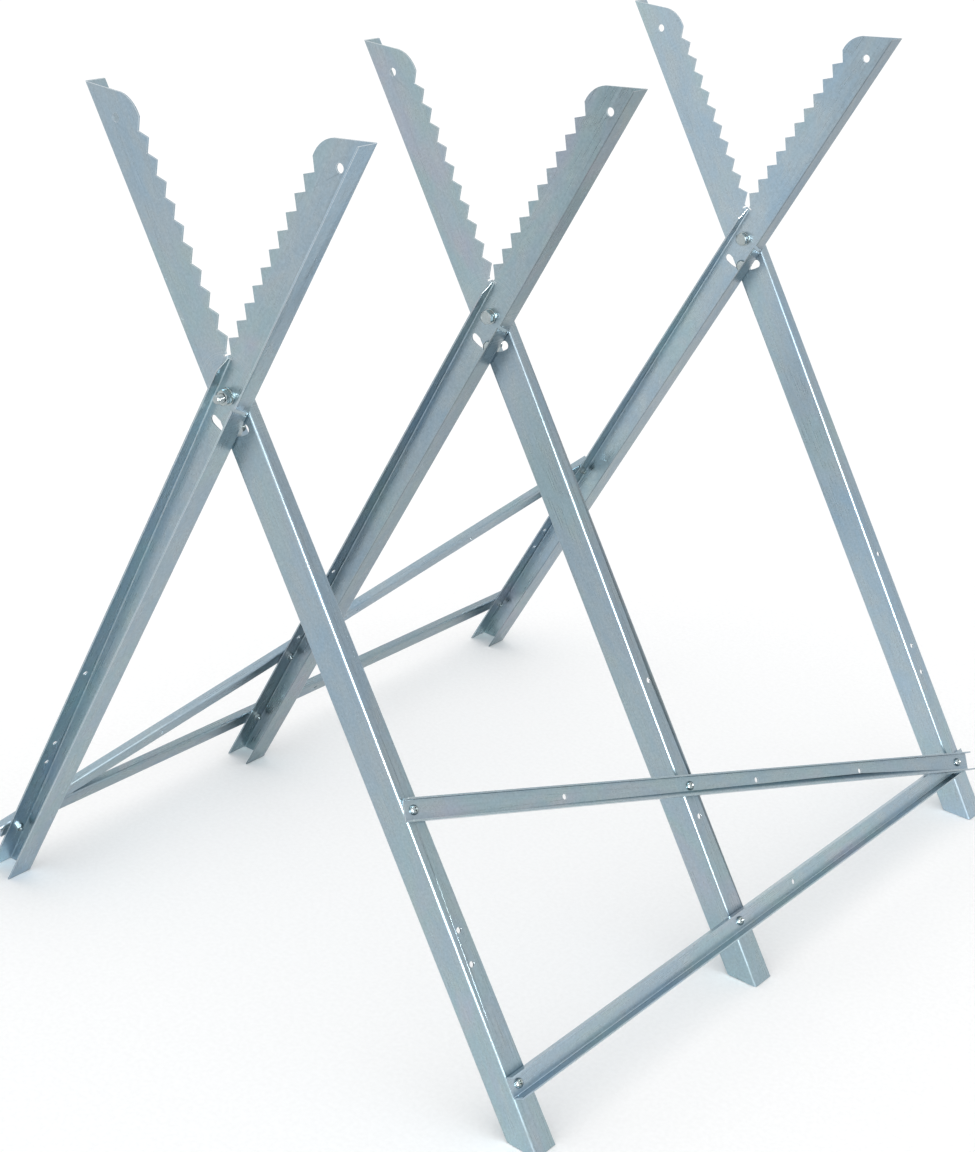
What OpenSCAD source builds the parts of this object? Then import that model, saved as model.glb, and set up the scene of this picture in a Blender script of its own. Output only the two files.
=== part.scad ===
// Log saw stand: three scissor pairs of toothed sheet-steel legs, tied by channel bars on both sides.
// +X is right, +Y is to the rear and +Z is up. The origin is on the ground under the middle of the stand.

/* [Stand] */
// Height of the pivot axis above the ground
pivot_height = 620; // [580:1:660]
// Lean of each opened leg from the vertical, in degrees
leg_lean = 30.6; // [28:0.2:33]
// Distance from the front pair of legs to the middle pair
front_spacing = 350; // [300:5:400]
// Distance from the middle pair of legs to the rear pair
rear_spacing = 450; // [400:5:500]
// Gap between the two legs of a pair, web to web
leg_gap = 0.2; // [0.1:0.1:0.6]

/* [Leg] */
// Thickness of the leg sheet
leg_sheet = 1.5; // [1.2:0.1:2]
// Inside radius of the leg bends
leg_bend = 1.5; // [1:0.1:2.5]
// Distance from the pivot axis to the outer face of the spine flange
spine_offset = 26.4; // [26:0.2:32]
// Distance from the pivot axis to the outer face of the bar flange, level with the pivot
bar_side_offset = 15.9; // [14:0.1:18]
// Angle at which the bar flange closes in on the spine towards the foot, in degrees
bar_side_taper = 0.88; // [0:0.02:1.2]
// Depth of the spine flange along the jaw
jaw_flange_depth = 22.5; // [16:0.5:28]
// Depth of the spine flange under the slit beside the pivot
spine_depth_top = 25; // [18:0.5:30]
// Depth of the spine flange at the ground
spine_depth_foot = 31; // [22:0.5:36]
// Depth of the bar flange at its upper end
bar_depth_top = 11; // [8:0.5:16]
// Depth of the bar flange at the ground
bar_depth_foot = 27; // [22:0.5:32]
// Height above the pivot at which the bar flange starts
bar_flange_top = 32; // [20:1:32]
// Length of the slope at the upper end of the bar flange
bar_flange_slope = 12; // [4:1:20]
// Gap between the end of the bend and the jaw above it
bend_relief = 1.5; // [1:0.1:2]

/* [Slit and slot] */
// Height above the pivot at which the slit in the spine flange starts
slit_height = 1; // [0:0.5:6]
// Rise of the slit from the bend to the free edge of the spine flange
slit_rise = 13; // [6:0.5:18]
// Width of the slit, measured along the leg
slit_width = 4; // [2:0.5:8]
// Distance from the pivot axis to the middle of the curved stop slot
slot_radius = 32; // [30:0.5:36]
// Angle that the stop slot runs on past the middle line of the leg, in degrees
slot_overtravel = 5; // [3:0.5:8]

/* [Jaw] */
// Number of teeth on each jaw
tooth_count = 10; // [6:1:10]
// Distance from tooth to tooth
tooth_pitch = 20.1; // [18:0.1:21]
// Depth of a tooth
tooth_depth = 9.1; // [6:0.1:11]
// Share of the pitch that lies between a tooth tip and the root under it
tooth_flank_share = 0.53; // [0.4:0.01:0.7]
// Height above the pivot of the lowest tooth tip
tooth_start = 46.5; // [44:0.5:52]
// Distance from the leg's pivot line to the tooth roots
root_offset = 16; // [15:0.1:18]
// Height of the point of the nose above the root under it
nose_rise = 10; // [6:0.5:14]
// Reach of the point of the nose from the tooth roots
nose_reach = 8.1; // [5:0.1:10]
// Height of the round front of the nose
nose_height = 26.8; // [20:0.2:32]
// Distance that the front of the nose leans back
nose_lean = 10.8; // [6:0.1:14]
// Bulge of the round front of the nose over a straight one
nose_bulge = 3.6; // [2:0.1:3.8]
// Rise of the jaw's top edge from the nose to the spine
jaw_top_rise = 27.1; // [22:0.2:34]
// Diameter of the hole near the top of the jaw
jaw_hole = 8; // [5:0.5:10]
// Distance from the jaw hole down to the level of the nose's top
jaw_hole_drop = 16; // [12:0.5:22]
// Distance from the leg's pivot line to the jaw hole, towards the spine
jaw_hole_offset = 4.5; // [0:0.5:8]

/* [Bars] */
// Width of a bar over its web
bar_width = 21.5; // [18:0.5:22]
// Height of a bar's lower flange over the back of its web
bar_flange = 12.5; // [8:0.5:18]
// Height of a bar's upper flange over the back of its web
bar_lip = 9; // [6:0.5:18]
// Thickness of the bar sheet
bar_sheet = 1.5; // [1:0.1:2]
// Inside radius of the bar bends
bar_bend = 1; // [0.6:0.1:2.5]
// Place of the upper screw hole, as a share of the way down the leg from the pivot to the ground
upper_hole_share = 0.5477; // [0.53:0.0001:0.57]
// Distance up the leg from the ground to the lower screw hole
lower_hole_rise = 65; // [60:0.5:80]
// Distance from the back of a leg to its row of screw holes
hole_depth = 11.3; // [10:0.1:13]
// Distance that a bar reaches past its last hole, over the free edge of the leg
bar_overhang = 20; // [14:0.5:24]
// Distance that a bar's end stays behind the back of the leg
bar_setback = 0.4; // [0.2:0.1:2]
// Distance of the diagonal bar's spare holes from its end holes
spare_hole = 189; // [150:1:220]
// Length of the low bar that the diagonal bar lies over, from the shared screw
overlap_length = 73; // [71:1:90]
// Length of the low bar's lower flange that is cut back, from the shared screw
lower_cutback = 12; // [10:1:30]

/* [Bolts] */
// Diameter of the pivot bolts and stop bolts
bolt_d = 8; // [6:1:10]
// Width across the flats of the bolt heads and nuts
bolt_flats = 13; // [10:0.5:13]
// Height of a bolt head
bolt_head = 5.3; // [4:0.1:6.5]
// Height of a bolt's nut
bolt_nut = 6.5; // [5:0.1:8]
// Length of bolt that stands out of its nut
bolt_end = 7; // [2:0.5:12]
// Diameter of a stop bolt's domed head
stop_head_d = 14; // [12:0.2:14]
// Height of a stop bolt's domed head
stop_head = 4.4; // [3:0.1:5]
// Diameter of the pivot washers
washer_d = 16; // [14:0.5:20]
// Thickness of the pivot washers
washer_sheet = 1.6; // [1:0.1:2]
// Radial clearance of the pivot bolt in its holes
pivot_clearance = 0.08; // [0.02:0.01:0.1]
// Side clearance of the stop bolt in its slot
slot_clearance = 0.3; // [0.2:0.05:0.5]
// Play under the heads and nuts of the bolts that the legs turn on
bolt_play = 0.1; // [0.05:0.05:0.3]

/* [Screws] */
// Diameter of the bar screws
screw_d = 5; // [4:0.5:5]
// Diameter of a screw's head
screw_head_d = 9.6; // [8:0.1:11]
// Height of a screw's head
screw_head = 3.4; // [2.5:0.1:4]
// Diameter of the screw holes
screw_hole = 5.4; // [5.2:0.1:6]
// Width across the flats of a screw's nut
screw_flats = 8; // [7:0.5:9]
// Height of a screw's nut
screw_nut = 4; // [3:0.1:5]
// Length of screw that stands out of its nut
screw_end = 2.5; // [1:0.5:4]
// Length of the arms of the cross in a screw's head
cross_length = 5; // [3:0.2:6]
// Width of the arms of the cross in a screw's head
cross_width = 1; // [0.6:0.1:1.4]
// Depth of the cross in a screw's head
cross_depth = 1.6; // [0.8:0.1:2]

/* [Hidden] */
$fn = 48;

// One overrun serves all cuts
overrun = 1;
// Hole in which a hinge bolt turns
pivot_hole = bolt_d + 2 * pivot_clearance;
// Width of the curved stop slot
slot_width = bolt_d + 2 * slot_clearance;
// Length over which a leg's plates lap into the arms of its bends
lap = leg_sheet;
// Outside radius of the bends
leg_round = leg_bend + leg_sheet;
bar_round = bar_bend + bar_sheet;

// Places of the three pairs along the stand
span = front_spacing + rear_spacing;
front_y = -span / 2;
middle_y = front_y + front_spacing;
rear_y = span / 2;

// Length of a leg from the pivot to the ground, and a little more for the cut on the ground
foot_reach = pivot_height / cos(leg_lean);
leg_low = foot_reach + spine_offset;
// Distances down the leg from the pivot to its screw holes
upper_hole = foot_reach * upper_hole_share;
lower_hole = foot_reach - lower_hole_rise;

// Corners of the jaw, as distance from the pivot line and height above the pivot
tip_offset = root_offset + tooth_depth;
flank_drop = tooth_pitch * tooth_flank_share;
top_tip = tooth_start + (tooth_count - 1) * tooth_pitch;
top_root = top_tip + tooth_pitch - flank_drop;
nose_point = [root_offset + nose_reach, top_root + nose_rise];
nose_top = nose_point + [-nose_lean, nose_height];
spine_top = nose_top[1] + jaw_top_rise;
jaw_above = spine_top + leg_round;
// Arc of the nose, over the chord from its point to its top
nose_chord = norm(nose_top - nose_point);
nose_radius = (pow(nose_chord / 2, 2) + pow(nose_bulge, 2)) / (2 * nose_bulge);
nose_out = [nose_height, nose_lean] / nose_chord;
nose_middle = (nose_point + nose_top) / 2;
nose_centre = nose_middle + nose_out * (nose_bulge - nose_radius);
// Angle of the arc, and a margin by which the cut along it runs on at both ends
nose_turn = 2 * asin(nose_chord / (2 * nose_radius));
nose_margin = 4;
// Corner outside the arc, on the line of the first notch and on the top edge
nose_corner = nose_point + [nose_reach, nose_rise] / 2;
jaw_hole_height = nose_top[1] - jaw_hole_drop;

// Fall of the diagonal bar along the stand, and the small tilt that lifts it over the low bar's end
hole_drop = lower_hole - upper_hole;
diagonal_fall = atan(hole_drop / span);
diagonal_span = span / cos(diagonal_fall);
bar_start = hole_depth - bar_setback;
bar_reach = max(bar_flange, bar_lip);
lift_start = diagonal_span + bar_start - overlap_length / cos(diagonal_fall);
diagonal_tilt = asin(bar_sheet / lift_start);

// Bolt lengths from the underside of the head
pivot_grip = 2 * (leg_sheet + washer_sheet + bolt_play) + leg_gap;
stop_grip = 2 * (leg_sheet + bolt_play) + leg_gap;
// Half the stack of webs that a bolt holds
pair_half = leg_gap / 2 + leg_sheet + bolt_play;
// Chamfer of the hexagon corners and of the bolt ends, as shares of their own sizes
hex_chamfer_share = 0.12;
bolt_chamfer_share = 0.1;

// Height of the lift of the diagonal bar's web at a distance from its first hole
function diagonal_lift(distance) = sin(diagonal_tilt) * (distance / cos(diagonal_fall) + bar_start);

// Height of the jaw's top edge at an offset from the pivot line
function top_edge(offset) =
    nose_top[1] + jaw_top_rise * (nose_top[0] - offset) / (nose_top[0] + spine_offset);

// Point far out on a line from the centre of the nose's arc, turned by an angle from the nose's point
function nose_ray(turn) =
    let (start = nose_point - nose_centre)
        nose_centre + 2 * [
            start[0] * cos(turn) - start[1] * sin(turn),
            start[0] * sin(turn) + start[1] * cos(turn)
        ];

// Depth of a flange that deepens from its upper end to the ground, at a height
function flange_depth(upper, lower, start, height) =
    upper + (lower - upper) * (start - height) / (start + foot_reach);

// Place of the bar flange's bend line from the pivot line, at a height
function bar_side(height) = bar_side_offset + height * tan(bar_side_taper);

// Plate in the plane of a leg's web from a drawing of offset and height, standing from the back face
module web_plate(thickness) {
    translate([0, thickness, 0])
        rotate([90, 0, 0])
            linear_extrude(thickness)
                children();
}

// Plate across a leg, drawn as depth and height, with its first face at offset zero
module cross_plate(points, thickness) {
    rotate([90, 0, 90])
        linear_extrude(thickness)
            polygon(points);
}

// Quarter of a tube along +Z, with its corner at the origin and its arms towards +X and +Y
module quarter_bend(inside, sheet, length) {
    outside = inside + sheet;
    linear_extrude(length)
        intersection() {
            square(outside);
            translate([outside, outside])
                difference() {
                    circle(outside);
                    circle(inside);
                }
        }
}

// Bend with straight arms along +X and +Y, which lap into the plates on both sides of it
module bend_strip(inside, sheet, length) {
    outside = inside + sheet;
    quarter_bend(inside, sheet, length);
    translate([outside, 0, 0])
        cube([2 * lap, sheet, length]);
    translate([0, outside, 0])
        cube([sheet, 2 * lap, length]);
}

// Cylinder along +Y, centred on its length
module rod_y(diameter, length) {
    rotate([90, 0, 0])
        cylinder(d = diameter, h = length, center = true);
}

// Frame on the outer face of the bar flange: +X points away from the leg and +Z up the bend line
module bar_side_frame() {
    translate([bar_side_offset, 0, 0])
        rotate([0, bar_side_taper, 0])
            children();
}

// Web of a leg with the toothed edge of its jaw
module leg_web() {
    inner = -spine_offset + leg_round + lap;
    inset = (leg_round + lap) / cos(bar_side_taper);
    jaw_foot = bar_flange_top + bend_relief;
    teeth = [
        for (i = [tooth_count - 1 : -1 : 0])
            let (tip = tooth_start + i * tooth_pitch)
                each [[tip_offset, tip], [root_offset, tip - flank_drop]]
    ];
    outline = concat(
        [
            [inner, -leg_low],
            [inner, jaw_above],
            [nose_corner[0], jaw_above],
            nose_corner,
            [root_offset, top_root]
        ],
        teeth,
        [
            [root_offset, jaw_foot],
            [bar_side(jaw_foot) - inset, jaw_foot],
            [bar_side(-leg_low) - inset, -leg_low]
        ]
    );
    web_plate(leg_sheet)
        polygon(outline);
}

// Cuts that give the jaw its slanted top and the round front of its nose
module jaw_cuts() {
    left = -spine_offset - leg_round;
    right = nose_corner[0] + leg_round;
    above = jaw_above + jaw_top_rise;
    translate([0, -overrun, 0])
        web_plate(jaw_flange_depth + 2 * overrun)
            polygon([[left, top_edge(left)], [right, top_edge(right)], [right, above], [left, above]]);
    translate([0, -overrun, 0])
        web_plate(leg_sheet + 2 * overrun)
            difference() {
                polygon([nose_centre, nose_ray(-nose_margin), nose_ray(nose_turn + nose_margin)]);
                translate(nose_centre)
                    circle(nose_radius);
            }
}

// Height of a line along the slit at a depth, from the level of the slit's start
function slit_line(depth) = slit_height + slit_rise * (depth - leg_round) / (spine_depth_top - leg_round);

// Spine flange in two lengths, parted by the slanted slit beside the pivot
module spine_flange() {
    root = leg_round + lap;
    low_depth = flange_depth(spine_depth_top, spine_depth_foot, 0, -leg_low);
    deep = spine_depth_top + jaw_flange_depth;
    slit_start = leg_round + bend_relief / 2;
    difference() {
        translate([-spine_offset, 0, 0]) {
            translate([0, 0, -leg_low])
                bend_strip(leg_bend, leg_sheet, leg_low + jaw_above);
            cross_plate([
                [root, -leg_low],
                [low_depth, -leg_low],
                [spine_depth_top, slit_line(spine_depth_top) + slit_width / 4],
                [root, slit_line(root) + slit_width / 4]
            ], leg_sheet);
            cross_plate([
                [root, slit_line(root) + slit_width * 3 / 4],
                [jaw_flange_depth, slit_line(jaw_flange_depth) + slit_width * 3 / 4],
                [jaw_flange_depth, jaw_above],
                [root, jaw_above]
            ], leg_sheet);
        }
        translate([-spine_offset - overrun, 0, 0])
            cross_plate([
                [slit_start, slit_line(slit_start)],
                [deep, slit_line(deep)],
                [deep, slit_line(deep) + slit_width],
                [slit_start, slit_line(slit_start) + slit_width]
            ], leg_sheet + 2 * overrun);
    }
}

// Bar flange, which starts in a slope under the lowest tooth and deepens towards the foot
module side_flange() {
    root = leg_round + lap;
    start = bar_flange_top / cos(bar_side_taper);
    low = leg_low / cos(bar_side_taper);
    low_depth = flange_depth(bar_depth_top, bar_depth_foot, start, -low);
    slope_start = leg_round + bend_relief / 2;
    slope_depth = bar_depth_top + bar_depth_foot;
    slope_fall = bar_flange_slope * (slope_depth - slope_start) / (bar_depth_top - slope_start);
    bar_side_frame()
        difference() {
            mirror([1, 0, 0]) {
                translate([0, 0, -low])
                    bend_strip(leg_bend, leg_sheet, low + start);
                cross_plate([[root, -low], [low_depth, -low], [bar_depth_top, start], [root, start]], leg_sheet);
            }
            translate([-leg_sheet - overrun, 0, 0])
                cross_plate([
                    [slope_start, start],
                    [slope_depth, start - slope_fall],
                    [slope_depth, start + overrun],
                    [slope_start, start + overrun]
                ], leg_sheet + 2 * overrun);
        }
}

// Curved slot around the pivot for the stop bolt, through the web
module stop_slot() {
    sweep = leg_lean + slot_overtravel;
    depth = leg_sheet + 2 * overrun;
    translate([0, -overrun, 0])
        rotate([-90, 0, 0]) {
            rotate([0, 0, 90 - slot_overtravel])
                rotate_extrude(angle = sweep)
                    translate([slot_radius - slot_width / 2, 0])
                        square([slot_width, depth]);
            for (turn = [-slot_overtravel, leg_lean])
                rotate([0, 0, 90 + turn])
                    translate([slot_radius, 0, 0])
                        cylinder(d = slot_width, h = depth);
        }
}

// Screw holes through the bar flange: the upper, two middle and the lower hole
module side_holes() {
    step = hole_drop * front_spacing / span;
    bar_side_frame()
        for (drop = [upper_hole, upper_hole + step, lower_hole - step, lower_hole])
            translate([0, hole_depth, -drop])
                rotate([0, 90, 0])
                    cylinder(d = screw_hole, h = 2 * leg_round, center = true);
}

// One leg in its own frame: +X towards the bar flange, +Y into the channel, +Z up, pivot at the origin
module leg() {
    difference() {
        union() {
            leg_web();
            spine_flange();
            side_flange();
        }
        jaw_cuts();
        // Level cut of the foot on the ground
        rotate([0, leg_lean, 0])
            translate([-leg_low, -overrun, -pivot_height - leg_low])
                cube([2 * leg_low, spine_depth_foot + bar_depth_foot, leg_low]);
        rod_y(pivot_hole, 2 * leg_round);
        translate([-jaw_hole_offset, 0, jaw_hole_height])
            rod_y(jaw_hole, 2 * leg_round);
        stop_slot();
        side_holes();
    }
}

// Frame of a right leg, at its place along the stand
module right_leg_frame(y) {
    translate([0, y + leg_gap / 2, pivot_height])
        rotate([0, -leg_lean, 0])
            children();
}

// Left side of the stand, which is the right side turned half round about the upright axis
module turned() {
    rotate([0, 0, 180])
        children();
}

module right_leg(y) {
    color("#a3b3bb")
        right_leg_frame(y)
            leg();
}

module left_leg(y) {
    turned()
        right_leg(-y);
}

module right_leg_front() { right_leg(front_y); }
module right_leg_middle() { right_leg(middle_y); }
module right_leg_rear() { right_leg(rear_y); }
module left_leg_front() { left_leg(front_y); }
module left_leg_middle() { left_leg(middle_y); }
module left_leg_rear() { left_leg(rear_y); }

// Channel bar along +Y with its back on the plane of X zero and its holes at the given distances
module channel_bar(length, start, holes) {
    wall = bar_width / 2;
    difference() {
        translate([0, -start, 0])
            union() {
                for (side = [0, 1])
                    mirror([0, 0, side])
                        translate([0, 0, -wall]) {
                            reach = side == 0 ? bar_flange : bar_lip;
                            rotate([-90, 0, 0])
                                mirror([0, 1, 0])
                                    quarter_bend(bar_bend, bar_sheet, length);
                            translate([bar_round, 0, 0])
                                cube([reach - bar_round, length, bar_sheet]);
                        }
                translate([0, 0, bar_round - wall])
                    cube([bar_sheet, length, bar_width - 2 * bar_round]);
            }
        for (distance = holes)
            translate([0, distance, 0])
                rotate([0, 90, 0])
                    cylinder(d = screw_hole, h = 2 * bar_round, center = true);
    }
}

// Frame of the right bars: +X away from the legs, +Y along the stand from the front holes
module right_bar_frame() {
    right_leg_frame(front_y)
        bar_side_frame()
            translate([0, hole_depth, 0])
                children();
}

// Low bar, whose flanges are cut back where the diagonal bar lies over its far end
module low_bar() {
    length = bar_start + span + bar_overhang;
    wall = bar_width / 2 + overrun;
    color("#9fb0b8")
        right_bar_frame()
            translate([0, 0, -lower_hole])
                difference() {
                    channel_bar(length, bar_start, [0, front_spacing, rear_spacing, span]);
                    translate([bar_sheet, span - overlap_length, 0])
                        cube([bar_reach, overlap_length + bar_overhang + overrun, wall]);
                    translate([bar_sheet, span - lower_cutback, -wall])
                        cube([bar_reach, lower_cutback + bar_overhang + overrun, 2 * wall]);
                }
}

// Diagonal bar, which falls to the far end and lies there over the low bar
module diagonal_bar() {
    length = bar_start + diagonal_span + bar_overhang;
    step = front_spacing / cos(diagonal_fall);
    color("#9fb0b8")
        right_bar_frame()
            translate([0, 0, -upper_hole])
                rotate([-diagonal_fall, 0, 0])
                    translate([0, -bar_start, 0])
                        rotate([0, 0, -diagonal_tilt])
                            translate([0, bar_start, 0])
                                channel_bar(length, bar_start, [
                                    0, spare_hole, step, diagonal_span - step,
                                    diagonal_span - spare_hole, diagonal_span
                                ]);
}

module right_low_bar() { low_bar(); }
module right_diagonal_bar() { diagonal_bar(); }
module left_low_bar() { turned() low_bar(); }
module left_diagonal_bar() { turned() diagonal_bar(); }

// Hexagon along +Z with chamfered corners on its outer end
module hexagon(flats, height) {
    corner = flats / cos(30);
    chamfer = corner * hex_chamfer_share;
    intersection() {
        cylinder(d = corner, h = height, $fn = 6);
        union() {
            cylinder(d = corner + overrun, h = height - chamfer / 2);
            translate([0, 0, height - chamfer / 2])
                cylinder(d1 = corner + overrun, d2 = corner - chamfer, h = chamfer / 2);
        }
    }
}

// Cap of a ball along +Z, for the crown of a screw or bolt
module dome(diameter, height) {
    ball = (pow(diameter / 2, 2) + pow(height, 2)) / (2 * height);
    intersection() {
        cylinder(d = diameter, h = height + overrun);
        translate([0, 0, height - ball])
            sphere(r = ball);
    }
}

// Shank along +Z from a start under its head's seat, through the grip and the nut
module shank(start, grip) {
    length = grip + bolt_nut + bolt_end;
    chamfer = bolt_d * bolt_chamfer_share;
    translate([0, 0, -start])
        cylinder(d = bolt_d, h = start + length - chamfer);
    translate([0, 0, length - chamfer])
        cylinder(d1 = bolt_d, d2 = bolt_d - 2 * chamfer, h = chamfer);
}

// Bolt with a hexagon head, which stands under the plane of Z zero
module hex_bolt(grip) {
    mirror([0, 0, 1])
        hexagon(bolt_flats, bolt_head);
    shank(bolt_head / 2, grip);
}

// Bolt with a domed head, which stands under the plane of Z zero
module dome_bolt(grip) {
    mirror([0, 0, 1])
        dome(stop_head_d, stop_head);
    shank(stop_head / 2, grip);
}

// Nut along +Z with a plain bore
module hex_nut(flats, height, bore) {
    difference() {
        hexagon(flats, height);
        translate([0, 0, -overrun])
            cylinder(d = bore, h = height + 2 * overrun);
    }
}

// Frame of a pivot bolt: +Z to the rear, or to the front where the bolt is turned about
module pivot_frame(y, faces_front) {
    translate([0, y, pivot_height])
        rotate([faces_front ? 90 : -90, 0, 0])
            rotate([0, 0, 30])
                children();
}

// Frame of a stop bolt, straight under its pivot: +Z to the rear
module stop_frame(y) {
    translate([0, y, pivot_height - slot_radius])
        rotate([-90, 0, 0])
            children();
}

module pivot_bolt(y, faces_front) {
    color("#c3cacd")
        pivot_frame(y, faces_front)
            translate([0, 0, -pivot_grip / 2])
                hex_bolt(pivot_grip);
}

module pivot_nut(y, faces_front) {
    color("#c3cacd")
        pivot_frame(y, faces_front)
            translate([0, 0, pivot_grip / 2])
                hex_nut(bolt_flats, bolt_nut, bolt_d);
}

module stop_bolt(y) {
    color("#c3cacd")
        stop_frame(y)
            translate([0, 0, -stop_grip / 2])
                dome_bolt(stop_grip);
}

// The front pair's pivot bolt points forward and shows its nut; the other bolts point to the rear
module pivot_bolt_front() { pivot_bolt(front_y, true); }
module pivot_bolt_middle() { pivot_bolt(middle_y, false); }
module pivot_bolt_rear() { pivot_bolt(rear_y, false); }
module pivot_nut_front() { pivot_nut(front_y, true); }
module pivot_nut_middle() { pivot_nut(middle_y, false); }
module pivot_nut_rear() { pivot_nut(rear_y, false); }
module stop_bolt_front() { stop_bolt(front_y); }
module stop_bolt_middle() { stop_bolt(middle_y); }
module stop_bolt_rear() { stop_bolt(rear_y); }

module pivot_washers() {
    color("#c3cacd")
        for (y = [front_y, middle_y, rear_y])
            for (side = [-1, 1])
                translate([0, y + side * (pair_half + washer_sheet / 2), pivot_height])
                    difference() {
                        rod_y(washer_d, washer_sheet);
                        rod_y(pivot_hole, washer_sheet + 2 * overrun);
                    }
}

module stop_nuts() {
    color("#c3cacd")
        for (y = [front_y, middle_y, rear_y])
            stop_frame(y)
                translate([0, 0, stop_grip / 2])
                    hex_nut(bolt_flats, bolt_nut, bolt_d);
}

// Pan head along +Z with a cross in its crown
module screw_crown() {
    difference() {
        dome(screw_head_d, screw_head);
        for (turn = [0, 90])
            rotate([0, 0, turn])
                translate([-cross_length / 2, -cross_width / 2, screw_head - cross_depth])
                    cube([cross_length, cross_width, cross_depth + overrun]);
    }
}

// Places of the bar screws on one side: distance along the stand, drop and lift of the bar under the head
function screw_places(middle) = [
    [0, upper_hole, bar_sheet + diagonal_lift(bar_width / 2)],
    [0, lower_hole, bar_sheet],
    [middle, upper_hole + hole_drop * middle / span, bar_sheet + diagonal_lift(middle + bar_width / 2)],
    [middle, lower_hole, bar_sheet],
    [span, lower_hole, bar_sheet + diagonal_lift(span + bar_width / 2)]
];

module at_screw(place) {
    right_bar_frame()
        translate([0, place[0], -place[1]])
            rotate([0, 90, 0])
                children();
}

module bar_screws(middle) {
    color("#ccd2d4")
        for (place = screw_places(middle))
            at_screw(place) {
                reach = leg_sheet + screw_nut + screw_end;
                root = (screw_head - cross_depth) / 2;
                translate([0, 0, place[2]])
                    screw_crown();
                translate([0, 0, -reach])
                    cylinder(d = screw_d, h = reach + place[2] + root);
            }
}

module bar_nuts(middle) {
    color("#ccd2d4")
        for (place = screw_places(middle))
            at_screw(place)
                translate([0, 0, -leg_sheet])
                    mirror([0, 0, 1])
                        hex_nut(screw_flats, screw_nut, screw_d);
}

module right_bar_screws() { bar_screws(front_spacing); }
module right_bar_nuts() { bar_nuts(front_spacing); }
module left_bar_screws() { turned() bar_screws(rear_spacing); }
module left_bar_nuts() { turned() bar_nuts(rear_spacing); }

right_leg_front();
right_leg_middle();
right_leg_rear();
left_leg_front();
left_leg_middle();
left_leg_rear();
right_low_bar();
right_diagonal_bar();
left_low_bar();
left_diagonal_bar();
pivot_bolt_front();
pivot_bolt_middle();
pivot_bolt_rear();
pivot_nut_front();
pivot_nut_middle();
pivot_nut_rear();
pivot_washers();
stop_bolt_front();
stop_bolt_middle();
stop_bolt_rear();
stop_nuts();
right_bar_screws();
right_bar_nuts();
left_bar_screws();
left_bar_nuts();
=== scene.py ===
"""Looks of a folding log saw stand: zinc-plated legs and bars, threaded fasteners and a pale studio."""

import logging
import math
from collections.abc import Callable
from dataclasses import dataclass, field, replace
from enum import Enum

import bmesh
import bpy
from mathutils import Matrix, Vector


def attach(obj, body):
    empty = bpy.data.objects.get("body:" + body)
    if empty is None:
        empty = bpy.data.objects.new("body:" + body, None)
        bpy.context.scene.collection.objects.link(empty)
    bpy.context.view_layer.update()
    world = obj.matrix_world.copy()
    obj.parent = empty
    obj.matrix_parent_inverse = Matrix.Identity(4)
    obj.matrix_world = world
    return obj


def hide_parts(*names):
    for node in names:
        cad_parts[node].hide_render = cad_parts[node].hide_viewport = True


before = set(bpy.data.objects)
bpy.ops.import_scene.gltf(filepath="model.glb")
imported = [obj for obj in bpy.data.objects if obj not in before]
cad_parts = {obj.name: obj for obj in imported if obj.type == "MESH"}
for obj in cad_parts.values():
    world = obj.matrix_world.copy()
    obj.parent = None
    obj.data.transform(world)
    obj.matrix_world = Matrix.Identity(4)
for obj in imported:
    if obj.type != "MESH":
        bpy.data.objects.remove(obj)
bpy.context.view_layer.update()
log = logging.getLogger("saw_stand")

Colour = tuple[float, float, float]
Point = tuple[float, float, float]
Ring = list[Vector]
MM = 0.001

# Depths under a flange's outer face, in metres, over which each painted light and shade fades into the next
SPINE_SKIN = (0.9 * MM, 1.5 * MM)
BAR_SIDE_SKIN = (0.4 * MM, 0.8 * MM)
INSIDE_FADE = (0.3 * MM, 0.6 * MM)
CREASE_FADE = (0.5 * MM, 1.1 * MM)

# Heights at the pivot, in metres, over which the bar side's painted shade ends, and the depths that end it
PIVOT_FADE = (-0.005, 0.0)
PIVOT_LIFT = (0.01, 0.0)

# Range in which most of a noise lies, and the stops of the tints along it
NOISE_BAND = (0.32, 0.68)
CLOUD_STOPS = (0.30, 0.46, 0.58, 0.70)
BLOTCH_STOPS = (0.34, 0.62)

# Broken edges of the sheet: reach of the weld in millimetres, steps, and least angle in degrees
WELD_REACH = 0.005
EDGE_STEPS = 2
EDGE_ANGLE = 40.0

# Shares of a hexagon's size across the flats, the cone on its corners in degrees, and a nut's countersink
CORNER_REACH = 0.572
CROWN_REACH = 0.475
CONE_ANGLE = 30.0
COUNTERSINK = 0.4

# Shares of a thread's pitch and of its depth
THREAD_DEPTH = 0.58
RINGS_PER_TURN = 8.0
CREST_SHARE = 0.14
FLANK_SHARE = 0.72
END_CHAMFER = 1.1


class Grain(Enum):
    """Piece whose sheet was rolled in one direction, or a turned piece without one."""

    RIGHT_LEG = "right_leg"
    LEFT_LEG = "left_leg"
    LOW_BAR = "low_bar"
    RIGHT_DIAGONAL = "right_diagonal"
    LEFT_DIAGONAL = "left_diagonal"
    TURNED = "turned"


class Side(Enum):
    """Side of the stand, named by where the feet are."""

    RIGHT = "right"
    LEFT = "left"


class Facing(Enum):
    """Way in which a bolt's threaded end points along the stand."""

    FRONT = 90.0
    REAR = -90.0


class Place(Enum):
    """Scissor pair along the stand."""

    FRONT = "front"
    MIDDLE = "middle"
    REAR = "rear"


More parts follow.
